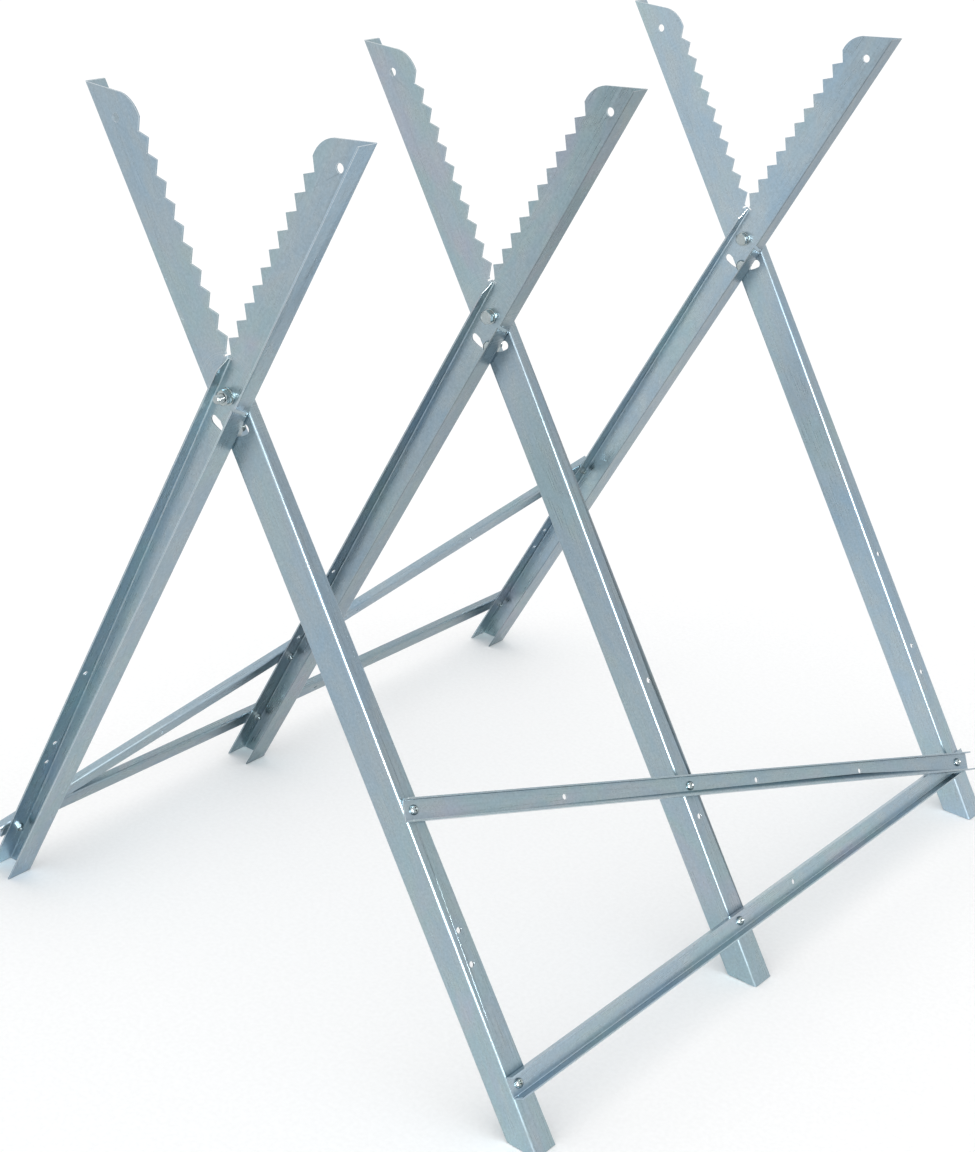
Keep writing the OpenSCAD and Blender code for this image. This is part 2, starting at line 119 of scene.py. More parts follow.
@dataclass(frozen=True)
class StandSizes:
    """Sizes of the whole stand that the dressed pieces share, in millimetres and degrees."""

    pivot_height: float = 620.0
    leg_lean: float = 30.6
    front_y: float = -400.0
    middle_y: float = -50.0
    rear_y: float = 400.0
    leg_gap: float = 0.2
    leg_sheet: float = 1.5
    bar_sheet: float = 1.5
    bar_width: float = 21.5
    bolt_play: float = 0.1
    slot_radius: float = 32.0
    spine_offset: float = 26.4
    crease_offset: float = 2.3
    bar_side_offset: float = 15.9
    bar_side_taper: float = 0.88
    hole_depth: float = 11.3
    bar_setback: float = 0.4
    overlap_length: float = 73.0
    upper_hole_share: float = 0.5477
    lower_hole_rise: float = 65.0

    @property
    def foot_reach(self) -> float:
        """Length of a leg from the pivot to the ground."""
        return self.pivot_height / math.cos(math.radians(self.leg_lean))

    @property
    def upper_hole(self) -> float:
        """Drop of the upper bar hole under the pivot, along the leg."""
        return self.foot_reach * self.upper_hole_share

    @property
    def lower_hole(self) -> float:
        """Drop of the lower bar hole under the pivot, along the leg."""
        return self.foot_reach - self.lower_hole_rise

    @property
    def span(self) -> float:
        """Distance from the front pair to the rear pair."""
        return self.rear_y - self.front_y

    @property
    def fall(self) -> float:
        """Angle by which the diagonal bars fall, in radians."""
        return math.atan((self.lower_hole - self.upper_hole) / self.span)

    def pair_y(self, place: Place) -> float:
        """Give the Y of a scissor pair, in millimetres."""
        return {Place.FRONT: self.front_y, Place.MIDDLE: self.middle_y, Place.REAR: self.rear_y}[place]

    def lift(self, distance: float) -> float:
        """Height of the diagonal bar over the legs' flanges.

        Args:
            distance: distance along the stand from the bar's high end.

        Returns:
            The height, in millimetres.
        """
        start = self.hole_depth - self.bar_setback
        lean_start = (self.span - self.overlap_length) / math.cos(self.fall) + start
        return self.bar_sheet / lean_start * (distance / math.cos(self.fall) + start)

    def grain_direction(self, grain: Grain) -> Vector:
        """Direction in which a piece's sheet was rolled.

        Args:
            grain: piece.

        Returns:
            A unit vector in the stand's frame.
        """
        lean = math.radians(self.leg_lean)
        down = Vector((math.sin(lean), 0.0, -math.cos(lean)))
        along = Vector((0.0, 1.0, 0.0))
        diagonal = along * math.cos(self.fall) + down * math.sin(self.fall)
        turned = Matrix.Rotation(math.pi, 3, "Z")
        return {
            Grain.RIGHT_LEG: down, Grain.LEFT_LEG: turned @ down, Grain.LOW_BAR: along,
            Grain.RIGHT_DIAGONAL: diagonal, Grain.LEFT_DIAGONAL: turned @ diagonal,
            Grain.TURNED: Vector((0.0, 0.0, 1.0)),
        }[grain]


SIZES = StandSizes()


class Shader:
    """Node tree of one finish, with short calls that add and join nodes."""

    def __init__(self, name: str) -> None:
        """Make an empty material.

        Args:
            name: name of the material.
        """
        self.material = bpy.data.materials.new(name)
        self.material.use_nodes = True
        self.tree = self.material.node_tree
        self.tree.nodes.clear()

    def add(self, kind: str, **values: object) -> bpy.types.Node:
        """Add a node and set its sockets and options.

        Args:
            kind: Blender's name of the node.
            values: sockets by name, with underscores for spaces, or options of the node.

        Returns:
            The new node.
        """
        node = self.tree.nodes.new(kind)
        for key, value in values.items():
            socket = node.inputs.get(key.replace("_", " "))
            if socket is None:
                setattr(node, key, value)
            elif isinstance(value, bpy.types.NodeSocket):
                self.tree.links.new(value, socket)
            else:
                socket.default_value = value
        return node

    def ramp(self, factor: bpy.types.NodeSocket, stops: list[tuple[float, Colour]]) -> bpy.types.NodeSocket:
        """Add a colour ramp.

        Args:
            factor: socket that drives the ramp.
            stops: places and colours along it.

        Returns:
            The ramp's colour socket.
        """
        node = self.add("ShaderNodeValToRGB", Fac=factor)
        elements = node.color_ramp.elements
        while len(elements) < len(stops):
            elements.new(1.0)
        for element, (place, colour) in zip(elements, stops):
            element.position = place
            element.color = (*colour, 1.0)
        return node.outputs["Color"]

    def span(self, value: bpy.types.NodeSocket, source: tuple[float, float],
             target: tuple[float, float]) -> bpy.types.NodeSocket:
        """Map a range of values onto another one.

        Args:
            value: socket to map.
            source: ends of the range that comes in.
            target: values given at those ends.

        Returns:
            The mapped socket.
        """
        node = self.add("ShaderNodeMapRange", Value=value, From_Min=source[0], From_Max=source[1],
                        To_Min=target[0], To_Max=target[1])
        return node.outputs["Result"]

    def maths(self, operation: str, first: object, second: object) -> bpy.types.NodeSocket:
        """Join two values by an operation.

        Args:
            operation: Blender's name of the operation.
            first: socket or number.
            second: socket or number.

        Returns:
            The result's socket.
        """
        node = self.tree.nodes.new("ShaderNodeMath")
        node.operation = operation
        for socket, value in zip(node.inputs, (first, second)):
            if isinstance(value, bpy.types.NodeSocket):
                self.tree.links.new(value, socket)
            else:
                socket.default_value = value
        return node.outputs["Value"]

    def dot(self, place: bpy.types.NodeSocket, direction: Vector) -> bpy.types.NodeSocket:
        """Measure places along a direction.

        Args:
            place: coordinates.
            direction: unit vector.

        Returns:
            The socket with the distance along it.
        """
        node = self.add("ShaderNodeVectorMath", operation="DOT_PRODUCT", Vector=place)
        node.inputs[1].default_value = direction
        return node.outputs["Value"]

    def blend(self, mode: str, factor: object, first: object, second: object) -> bpy.types.NodeSocket:
        """Mix two colours.

        Args:
            mode: Blender's name of the blend mode.
            factor: socket or number from 0 to 1.
            first: socket or colour.
            second: socket or colour.

        Returns:
            The mixed colour's socket.
        """
        node = self.tree.nodes.new("ShaderNodeMix")
        node.data_type = "RGBA"
        node.blend_type = mode
        for place, value in ((0, factor), (6, first), (7, second)):
            if isinstance(value, bpy.types.NodeSocket):
                self.tree.links.new(value, node.inputs[place])
            elif place == 0:
                node.inputs[place].default_value = value
            else:
                node.inputs[place].default_value = (*value, 1.0)
        return node.outputs[2]

    def grey(self, value: bpy.types.NodeSocket) -> bpy.types.NodeSocket:
        """Make a grey colour of a socket with its brightness."""
        return self.add("ShaderNodeCombineColor", Red=value, Green=value, Blue=value).outputs["Color"]


@dataclass(frozen=True)
class ZincPlate:
    """Blue-passivated zinc on steel: cloudy tints, rolling streaks, fine grit, pale scuffs and turning marks, and
    painted light and shade on the legs.
    """

    name: str
    body: Colour
    cool: Colour
    green: Colour
    rose: Colour
    scuff: Colour
    rough: tuple[float, float]
    cloud_scale: float = 9.0
    blotch_scale: float = 55.0
    mottle_scale: float = 420.0
    mottle_depth: float = 0.09
    streak_scale: float = 600.0
    streak_stretch: float = 0.03
    streak_depth: float = 0.03
    grit_scale: float = 2600.0
    bump_height: float = 0.00006
    turning_radius: float = 0.0
    # Gain of the painted light towards the feet, for the floor they reflect
    floor_glow_gain: float = 1.0
    ring_scale: float = 1900.0
    # Heights over which the painted light towards the feet fades out
    floor_glow_heights: tuple[float, float] = (0.02, 0.34)
    # Painted shade on the outsides of the legs' flanges and along the spine bend, and painted light inside the channel
    spine_shade_drops: tuple[float, float] = (-0.02, 0.25)
    spine_painted_shade: tuple[float, float] = (1.0, 1.0)
    bar_side_painted_shade: float = 0.84
    channel_painted_light: float = 1.0
    crease_painted_shade: float = 1.0

    def brightness_copy(self, name: str, gain: float) -> "ZincPlate":
        """Give a copy of the same finish with a factor on its brightness."""
        shades = {key: tuple(part * gain for part in getattr(self, key)) for key in ("body", "cool", "green", "rose")}
        return replace(self, name=name, **shades)

    def along(self, shader: Shader, grain: Grain) -> bpy.types.NodeSocket:
        """Give coordinates whose Z runs with the rolling.

        Args:
            shader: tree to add to.
            grain: piece whose sheet is dressed.

        Returns:
            The turned coordinates, in metres.
        """
        turn = SIZES.grain_direction(grain).rotation_difference(Vector((0.0, 0.0, 1.0))).to_euler()
        place = shader.add("ShaderNodeTexCoord").outputs["Object"]
        return shader.add("ShaderNodeMapping", Vector=place, Rotation=turn).outputs["Vector"]

    def noise(self, shader: Shader, place: bpy.types.NodeSocket, scale: float, detail: float,
              warp: float = 0.0) -> bpy.types.NodeSocket:
        """Add one layer of noise.

        Args:
            shader: tree to add to.
            place: coordinates.
            scale: waves per metre.
            detail: octaves.
            warp: distortion.

        Returns:
            The noise from 0 to 1.
        """
        node = shader.add("ShaderNodeTexNoise", Vector=place, Scale=scale, Detail=detail, Roughness=0.6,
                          Distortion=warp)
        return node.outputs["Fac"]

    def turning_marks(self, shader: Shader) -> bpy.types.NodeSocket:
        """Add fine rings around the pivots, where the legs rub when the stand is folded.

        Args:
            shader: tree to add to.

        Returns:
            Strength of the rings, from 0 to 1.
        """
        place = shader.add("ShaderNodeTexCoord").outputs["Object"]
        flat = shader.add("ShaderNodeMapping", Vector=place, Location=(0.0, 0.0, -SIZES.pivot_height * MM),
                          Scale=(1.0, 0.0, 1.0)).outputs["Vector"]
        radius = shader.add("ShaderNodeVectorMath", operation="LENGTH", Vector=flat).outputs["Value"]
        rings = shader.add("ShaderNodeTexNoise", noise_dimensions="1D", W=radius, Scale=self.ring_scale, Detail=2.0)
        near = shader.span(radius, (self.turning_radius * 0.7, self.turning_radius), (1.0, 0.0))
        return shader.maths("MULTIPLY", near, shader.span(rings.outputs["Fac"], (0.5, 0.75), (0.0, 1.0)))

    def painted_floor_glow(self, shader: Shader) -> bpy.types.NodeSocket:
        """Make the zinc paler towards the ground: painted light for the bright floor that the legs reflect near their
        feet.

        Args:
            shader: tree to add to.

        Returns:
            The factor on the brightness.
        """
        place = shader.add("ShaderNodeTexCoord").outputs["Object"]
        height = shader.add("ShaderNodeSeparateXYZ", Vector=place).outputs["Z"]
        return shader.span(height, self.floor_glow_heights, (self.floor_glow_gain, 1.0))

    def painted_flange_shading(self, shader: Shader, grain: Grain) -> bpy.types.NodeSocket:
        """Paint shade on the outsides of a leg's flanges and along its spine bend, and paint light on the insides of
        its channel.

        Args:
            shader: tree to add to.
            grain: leg that is dressed.

        Returns:
            The factor on the brightness.
        """
        place = shader.add("ShaderNodeTexCoord").outputs["Object"]
        centred = shader.add("ShaderNodeMapping", Vector=place, Location=(0.0, 0.0, -SIZES.pivot_height * MM))
        down = SIZES.grain_direction(grain)
        across = Vector((-down.z, 0.0, down.x)) * (1.0 if grain is Grain.RIGHT_LEG else -1.0)
        drop = shader.dot(centred.outputs["Vector"], down)
        offset = shader.dot(centred.outputs["Vector"], across)
        spine = shader.maths("ADD", offset, SIZES.spine_offset * MM)
        closing = shader.maths("MULTIPLY", drop, math.sin(math.radians(SIZES.bar_side_taper)))
        bar_side = shader.maths("SUBTRACT", SIZES.bar_side_offset * MM, shader.maths("ADD", offset, closing))
        # The bar side's painted shade ends at the pivot
        bar_side = shader.maths("ADD", bar_side, shader.span(drop, PIVOT_FADE, PIVOT_LIFT))
        # Painted shade on the outside of the spine flange, for the darker surroundings it reflects
        spine_shade_mask = shader.maths("SUBTRACT", 1.0, shader.span(drop, self.spine_shade_drops, self.spine_painted_shade))
        spine_shade_mask = shader.maths("MULTIPLY", spine_shade_mask, shader.span(spine, SPINE_SKIN, (1.0, 0.0)))
        # Painted shade on the outside of the bar-side flange
        outside = shader.maths("MULTIPLY", shader.maths("SUBTRACT", 1.0, spine_shade_mask),
                               shader.span(bar_side, BAR_SIDE_SKIN, (self.bar_side_painted_shade, 1.0)))
        # Painted light on the insides of the flanges, lifting the shade in the channel
        under = shader.maths("SUBTRACT", shader.maths("MINIMUM", spine, bar_side), SIZES.leg_sheet * MM)
        near = shader.maths("ABSOLUTE", under, 0.0)
        tone = shader.maths("MULTIPLY", outside, shader.span(near, INSIDE_FADE, (self.channel_painted_light, 1.0)))
        # Painted shade along the spine bend
        bend = shader.maths("ABSOLUTE", shader.maths("SUBTRACT", spine, SIZES.crease_offset * MM), 0.0)
        return shader.maths("MULTIPLY", tone, shader.span(bend, CREASE_FADE, (self.crease_painted_shade, 1.0)))

    def material(self, grain: Grain) -> bpy.types.Material:
        """Build the finish for one piece's way of rolling.

        Args:
            grain: piece whose sheet is dressed.

        Returns:
            The finished material.
        """
        shader = Shader(f"{self.name}_{grain.value}")
        place = self.along(shader, grain)
        stretch = 1.0 if grain is Grain.TURNED else self.streak_stretch
        drawn = shader.add("ShaderNodeMapping", Vector=place, Scale=(1.0, 1.0, stretch)).outputs["Vector"]
        half = shader.add("ShaderNodeMapping", Vector=place, Scale=(1.0, 1.0, 0.5)).outputs["Vector"]
        cloud = self.noise(shader, half, self.cloud_scale, 3.0, 0.6)
        blotch = self.noise(shader, half, self.blotch_scale, 5.0, 0.8)
        mottle = self.noise(shader, place, self.mottle_scale, 4.0, 0.4)
        streak = self.noise(shader, drawn, self.streak_scale, 3.0)
        grit = self.noise(shader, place, self.grit_scale, 2.0)

        # Clouds of passivation, from blue over green to a faint rose
        tint = shader.ramp(cloud, list(zip(CLOUD_STOPS, (self.cool, self.body, self.green, self.rose))))
        tone = shader.ramp(blotch, list(zip(BLOTCH_STOPS, (self.body, self.cool))))
        colour = shader.blend("MIX", 0.5, tint, tone)
        lines = shader.span(streak, NOISE_BAND, (1.0 - self.streak_depth, 1.0 + self.streak_depth))
        specks = shader.span(mottle, NOISE_BAND, (1.0 - self.mottle_depth, 1.0 + self.mottle_depth))
        shade = shader.maths("MULTIPLY", lines, specks)
        # Painted light towards the feet, for the floor they reflect
        if self.floor_glow_gain != 1.0:
            shade = shader.maths("MULTIPLY", shade, self.painted_floor_glow(shader))
        # Painted light and shade on the legs' flanges
        if grain in (Grain.RIGHT_LEG, Grain.LEFT_LEG):
            shade = shader.maths("MULTIPLY", shade, self.painted_flange_shading(shader, grain))
        colour = shader.blend("MULTIPLY", 1.0, colour, shader.grey(shade))

        # Pale scuffs where pieces have rubbed together
        rub = shader.maths("MULTIPLY", shader.span(blotch, (0.60, 0.78), (0.0, 0.5)),
                           shader.span(streak, (0.48, 0.66), (0.0, 1.0)))
        if self.turning_radius:
            rub = shader.maths("MAXIMUM", rub, shader.maths("MULTIPLY", self.turning_marks(shader), 0.4))
        colour = shader.blend("MIX", rub, colour, self.scuff)

        mixed = shader.maths("ADD", shader.maths("MULTIPLY", streak, 0.6), shader.maths("MULTIPLY", blotch, 0.4))
        rough = shader.span(mixed, (0.38, 0.64), self.rough)
        height = shader.maths("ADD", shader.maths("MULTIPLY", streak, 0.12), shader.maths("MULTIPLY", grit, 0.5))
        height = shader.maths("ADD", height, shader.maths("MULTIPLY", blotch, 0.8))
        bump = shader.add("ShaderNodeBump", Height=height, Strength=0.35, Distance=self.bump_height)
        surface = shader.add("ShaderNodeBsdfPrincipled", Base_Color=colour, Roughness=rough,
                             Normal=bump.outputs["Normal"], Metallic=1.0, Anisotropic=0.2)
        shader.add("ShaderNodeOutputMaterial", Surface=surface.outputs["BSDF"])
        return shader.material


SHEET_ZINC = ZincPlate("sheet_zinc", body=(0.330, 0.394, 0.430), cool=(0.262, 0.364, 0.450),
                       green=(0.314, 0.416, 0.418), rose=(0.394, 0.394, 0.447), scuff=(0.56, 0.61, 0.64),
                       rough=(0.24, 0.40), turning_radius=0.055)
# Rubbed zinc on the broken edges and bends; its lighter colour is also a painted highlight along them
EDGE_ZINC = ZincPlate("edge_zinc", body=(0.66, 0.70, 0.72), cool=(0.58, 0.64, 0.68), green=(0.64, 0.69, 0.69),
                      rose=(0.68, 0.69, 0.70), scuff=(0.82, 0.84, 0.85), rough=(0.22, 0.34), streak_scale=900.0)
BOLT_ZINC = ZincPlate("bolt_zinc", body=(0.39, 0.43, 0.44), cool=(0.33, 0.40, 0.42), green=(0.38, 0.44, 0.42),
                      rose=(0.44, 0.44, 0.44), scuff=(0.70, 0.73, 0.74), rough=(0.16, 0.30), cloud_scale=90.0,
                      blotch_scale=420.0, streak_scale=900.0, bump_height=0.00002)


class Finishes:
    """All materials of the stand, made once."""

    def __init__(self) -> None:
        """Make the materials for each way of rolling."""
        # A darker copy for the middle left leg, and a lighter copy for the rear legs as painted light, for the
        # brighter reflections they catch where they stand
        clean, dimmed, rear_lit = SHEET_ZINC, SHEET_ZINC.brightness_copy("dimmed_zinc", 0.96), SHEET_ZINC.brightness_copy("rear_lit_zinc", 1.14)
        right = replace(clean, floor_glow_gain=1.20).material(Grain.RIGHT_LEG)
        self.right_legs = {Place.FRONT: right, Place.MIDDLE: right,
                           Place.REAR: replace(rear_lit, floor_glow_gain=1.20).material(Grain.RIGHT_LEG)}
        # Painted shade on the spine flanges of the middle and rear left legs, and painted light inside the front left
        # leg's channel
        left = (replace(clean, channel_painted_light=1.45), replace(dimmed, spine_painted_shade=(0.72, 0.82)),
                replace(rear_lit, spine_painted_shade=(0.64, 0.72)))
        self.left_legs = {place: plate.material(Grain.LEFT_LEG) for place, plate in zip(Place, left)}
        # Lighter copy for the right low bar and darker copy for the left low bar
        self.right_low_bar = SHEET_ZINC.brightness_copy("pale_zinc", 1.16).material(Grain.LOW_BAR)
        self.left_low_bar = SHEET_ZINC.brightness_copy("darker_zinc", 0.84).material(Grain.LOW_BAR)
        self.right_diagonal_bar = SHEET_ZINC.material(Grain.RIGHT_DIAGONAL)
        self.left_diagonal_bar = SHEET_ZINC.material(Grain.LEFT_DIAGONAL)
        self.edge = EDGE_ZINC.material(Grain.TURNED)
        # Edges of the middle and rear left legs, with painted shade on the bevels along the spine bend and on the
        # spine flange's outside
        crease = replace(EDGE_ZINC, name="crease_shade_zinc", spine_painted_shade=(0.30, 0.30), crease_painted_shade=0.30)
        dark = crease.material(Grain.LEFT_LEG)
        self.left_edges = {Place.FRONT: self.edge, Place.MIDDLE: dark, Place.REAR: dark}
        self.fastener = BOLT_ZINC.material(Grain.TURNED)


def dress_node(name: str, sheet: bpy.types.Material, edge_wear_and_light: bpy.types.Material, edge: float) -> None:
    """Give a carried-over node its finish and a small broken edge with a lighter finish: rubbed zinc and a painted
    highlight.

    Args:
        name: node of the frame.
        sheet: finish of the sheet.
        edge_wear_and_light: finish of the broken edge, rubbed zinc made lighter also as a painted highlight, with
            painted shade along the spine of the middle and rear left legs.
        edge: width of the broken edge, in millimetres.
    """
    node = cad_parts[name]
    node.data.materials.clear()
    node.data.materials.append(sheet)
    node.data.materials.append(edge_wear_and_light)
    weld = node.modifiers.new("weld", "WELD")
    weld.merge_threshold = WELD_REACH * MM
    bevel = node.modifiers.new("broken_edge", "BEVEL")
    bevel.width = edge * MM
    bevel.segments = EDGE_STEPS
    bevel.limit_method = "ANGLE"
    bevel.angle_limit = math.radians(EDGE_ANGLE)
    bevel.harden_normals = False
    bevel.material = 1
    log.info("dressed %s", name)


@dataclass
class LegPair:
    """One scissor pair of toothed legs."""

    place: Place
    edge: float = 0.2

    def dress(self, finishes: Finishes) -> None:
        """Give both legs of the pair their finish.

        Args:
            finishes: materials of the stand.
        """
        dress_node(f"right_leg_{self.place.value}", finishes.right_legs[self.place], finishes.edge, self.edge)
        dress_node(f"left_leg_{self.place.value}", finishes.left_legs[self.place], finishes.left_edges[self.place],
                   self.edge)


@dataclass
class BarSet:
    """Low bar and diagonal bar that tie the three legs of one side."""

    side: Side
    edge: float = 0.2

    def dress(self, finishes: Finishes) -> None:
        """Give both bars their finish.

        Args:
            finishes: materials of the stand.
        """
        right = self.side is Side.RIGHT
        low = finishes.right_low_bar if right else finishes.left_low_bar
        diagonal = finishes.right_diagonal_bar if right else finishes.left_diagonal_bar
        dress_node(f"{self.side.value}_low_bar", low, finishes.edge, self.edge)
        dress_node(f"{self.side.value}_diagonal_bar", diagonal, finishes.edge, self.edge)


@dataclass
class Skin:
    """Closed skin over rings of points around the Z axis, in millimetres."""

    steps: int = 48
    rings: list[Ring] = field(default_factory=list)

    def ring(self, radius: Callable[[float], float], height: Callable[[float], float]) -> None:
        """Add a ring whose radius and height follow the angle in radians."""
        angles = [2.0 * math.pi * k / self.steps for k in range(self.steps)]
        self.rings.append([Vector((radius(a) * math.cos(a), radius(a) * math.sin(a), height(a))) for a in angles])

    def circle(self, radius: float, height: float) -> None:
        """Add a plain ring of a radius at a height."""
        self.ring(lambda angle: radius, lambda angle: height)

    def hexagon(self, flats: float, height: float, top: float, crown: float) -> None:
        """Add a ring on the sides of a hexagon, under the cone that breaks its corners.

        Args:
            flats: size across the flats.
            height: height at the middle of each flat, before the cone.
            top: way in which the cone closes, 1 for up and -1 for down.
            crown: radius at which the cone starts.
        """
        def reach(angle: float) -> float:
            """Give the hexagon's radius at an angle."""
            turn = (angle + math.pi / 6.0) % (math.pi / 3.0) - math.pi / 6.0
            return min(flats / 2.0 / math.cos(math.pi / 6.0 - abs(turn)), flats * CORNER_REACH)

        slope = math.tan(math.radians(CONE_ANGLE))
        self.ring(reach, lambda angle: height - top * max(reach(angle) - crown, 0.0) * slope)

    def thread(self, diameter: float, pitch: float, start: float, stop: float) -> None:
        """Add the rings of a thread with a run-out and a chamfered end.

        Args:
            diameter: outer diameter.
            pitch: rise of one turn.
            start: height at which the thread begins.
            stop: height of the end.
        """
        depth = pitch * THREAD_DEPTH
        count = max(2, round((stop - start) / pitch * RINGS_PER_TURN))
        for k in range(count + 1):
            z = start + (stop - start) * k / count
            fade = min(1.0, (z - start) / pitch)
            limit = diameter / 2.0 - max(0.0, z - (stop - depth * END_CHAMFER))

            def radius(angle: float, z: float = z, fade: float = fade, limit: float = limit) -> float:
                """Give the thread's radius on this ring.

                Args:
                    angle: angle in radians.
                    z: height of the ring.
                    fade: share of the full depth.
                    limit: largest radius.

                Returns:
                    The radius, in millimetres.
                """
                phase = abs(((z / pitch - angle / (2.0 * math.pi)) % 1.0) - 0.5) * 2.0
                groove = min(1.0, max(0.0, (phase - CREST_SHARE) / FLANK_SHARE))
                return min(limit, diameter / 2.0 - depth * fade * groove)

            self.ring(radius, lambda angle, z=z: z)

    def mesh(self, closed_loop: bool = False) -> bmesh.types.BMesh:
        """Skin the rings.

        Args:
            closed_loop: joins the last ring to the first, as on a nut or a washer.

        Returns:
            The closed mesh, in millimetres.
        """
        bm = bmesh.new()
        rows = [[bm.verts.new(point) for point in ring] for ring in self.rings]
        pairs = list(zip(rows, rows[1:] + rows[:1])) if closed_loop else list(zip(rows, rows[1:]))
        for low, high in pairs:
            for k in range(self.steps):
                n = (k + 1) % self.steps
                bm.faces.new((low[k], low[n], high[n], high[k]))
        if not closed_loop:
            bm.faces.new(rows[0][::-1])
            bm.faces.new(rows[-1])
        bmesh.ops.recalc_face_normals(bm, faces=bm.faces)
        return bm


def to_mesh(name: str, bm: bmesh.types.BMesh) -> bpy.types.Mesh:
    """Turn a worked mesh into a stored one.

    Args:
        name: name of the mesh.
        bm: worked mesh, freed by this call.

    Returns:
        The stored mesh.
    """
    mesh = bpy.data.meshes.new(name)
    bm.to_mesh(mesh)
    bm.free()
    return mesh


def set_pieces(name: str, mesh: bpy.types.Mesh, places: list[Matrix], material: bpy.types.Material,
               crease: float = 28.0) -> bpy.types.Object:
    """Set copies of a mesh in millimetres into the stand as one object.

    Args:
        name: name of the object.
        mesh: mesh of one copy, in millimetres.
        places: frame of each copy, in millimetres.
        material: finish.
        crease: angle over which an edge stays sharp, in degrees.

    Returns:
        The object, in metres.
    """
    joined = bmesh.new()
    for place in places:
        first = len(joined.verts)
        joined.from_mesh(mesh)
        joined.verts.ensure_lookup_table()
        bmesh.ops.transform(joined, matrix=Matrix.Scale(MM, 4) @ place, verts=joined.verts[first:])
    for face in joined.faces:
        face.smooth = True
    data = to_mesh(name, joined)
    data.set_sharp_from_angle(angle=math.radians(crease))
    data.materials.append(material)
    piece = bpy.data.objects.new(name, data)
    bpy.context.scene.collection.objects.link(piece)
    log.info("built %s", name)
    return piece


def rise(height: float) -> Matrix:
    """Give the frame of a move along Z, in millimetres."""
    return Matrix.Translation((0.0, 0.0, height))


@dataclass
class BoltKit:
    """Eight-millimetre bolts, nuts and washers of the scissor pairs, in millimetres."""

    diameter: float = 8.0
    pitch: float = 1.25
    flats: float = 13.0
    head: float = 5.3
    dish_floor: float = 0.9
    dish_rim: float = 0.7
    dish_depth: float = 0.25
    face: float = 0.25
    face_lip: float = 0.2
    fillet: float = 0.06
    runout: float = 1.0
    nut: float = 6.5
    end: float = 7.0
    dome_diameter: float = 14.0
    dome: float = 4.4
    dome_steps: int = 12
    dome_rim: float = 0.5
    dome_chamfer: float = 0.12
    washer_diameter: float = 16.0
    washer_sheet: float = 1.6
    washer_play: float = 0.08
    washer_roll: float = 0.45
    roll_middle: float = 0.13
    bore_break: float = 0.15
    burr: float = 0.1
    play: float = 0.02

    @property
    def pivot_grip(self) -> float:
        """Thickness that a pivot bolt holds together."""
        return 2.0 * (SIZES.leg_sheet + self.washer_sheet + SIZES.bolt_play) + SIZES.leg_gap

    @property
    def stop_grip(self) -> float:
        """Thickness that a stop bolt holds together."""
        return 2.0 * (SIZES.leg_sheet + SIZES.bolt_play) + SIZES.leg_gap

    def pivot_frame(self, place: Place, facing: Facing) -> Matrix:
        """Give the frame of a pivot bolt in millimetres, with Z along it to its threaded end."""
        return (Matrix.Translation((0.0, SIZES.pair_y(place), SIZES.pivot_height))
                @ Matrix.Rotation(math.radians(facing.value), 4, "X") @ Matrix.Rotation(math.radians(30.0), 4, "Z"))

    def stop_frame(self, place: Place) -> Matrix:
        """Give the frame of a stop bolt in millimetres, straight under its pivot."""
        return (Matrix.Translation((0.0, SIZES.pair_y(place), SIZES.pivot_height - SIZES.slot_radius))
                @ Matrix.Rotation(math.radians(-90.0), 4, "X"))

    def shank(self, skin: Skin, grip: float) -> None:
        """Add the plain shank and the thread.

        Args:
            skin: rings to add to.
            grip: plain length under the head.
        """
        skin.circle(self.diameter / 2.0 + self.fillet, 0.0)
        skin.circle(self.diameter / 2.0, self.fillet)
        skin.thread(self.diameter, self.pitch, grip - self.runout, grip + self.nut + self.end)

    def hex_bolt(self, grip: float) -> bpy.types.Mesh:
        """Build a bolt with a hexagon head under the plane of Z zero.

        Args:
            grip: plain length under the head.

        Returns:
            The mesh, in millimetres.
        """
        skin = Skin()
        crown = self.flats * CROWN_REACH
        skin.circle(crown - self.dish_floor, -self.head + self.dish_depth)
        skin.circle(crown - self.dish_rim, -self.head)
        skin.circle(crown, -self.head)
        skin.hexagon(self.flats, -self.head, -1.0, crown)
        skin.hexagon(self.flats, -self.face, 1.0, self.flats)
        skin.circle(crown, -self.face_lip)
        skin.circle(crown, 0.0)
        self.shank(skin, grip)
        return to_mesh("pivot_bolt", skin.mesh())

    def dome_bolt(self, grip: float) -> bpy.types.Mesh:
        """Build a bolt with a domed head under the plane of Z zero.

        Args:
            grip: plain length under the head.

        Returns:
            The mesh, in millimetres.
        """
        skin = Skin()
        outer = self.dome_diameter / 2.0
        for k in range(1, self.dome_steps + 1):
            turn = math.radians(90.0 * (1.0 - k / self.dome_steps))
            skin.circle(outer * math.cos(turn), -self.dome_rim - (self.dome - self.dome_rim) * math.sin(turn))
        skin.circle(outer, -self.dome_chamfer)
        skin.circle(outer - self.dome_chamfer, 0.0)
        self.shank(skin, grip)
        return to_mesh("stop_bolt", skin.mesh())

    def hex_nut(self) -> bpy.types.Mesh:
        """Build a nut over the plane of Z zero, in millimetres."""
        return nut_mesh("bolt_nut", self.flats, self.nut, self.diameter / 2.0 + self.play)

    def washer(self) -> bpy.types.Mesh:
        """Build a washer around the plane of Z zero, with one rolled and one sharp edge.

        Returns:
            The mesh, in millimetres.
        """
        skin = Skin(steps=64)
        half, outer, bore = self.washer_sheet / 2.0, self.washer_diameter / 2.0, self.diameter / 2.0 + self.washer_play
        roll, bulge, broken, burr = self.washer_roll, self.roll_middle, self.bore_break, self.burr
        for radius, height in ((bore, -half + broken), (bore, half - burr), (bore + burr, half), (outer - roll, half),
                               (outer - bulge, half - bulge), (outer, half - roll), (outer, -half + burr),
                               (outer - burr, -half), (bore + broken, -half)):
            skin.circle(radius, height)
        return to_mesh("pivot_washer", skin.mesh(closed_loop=True))

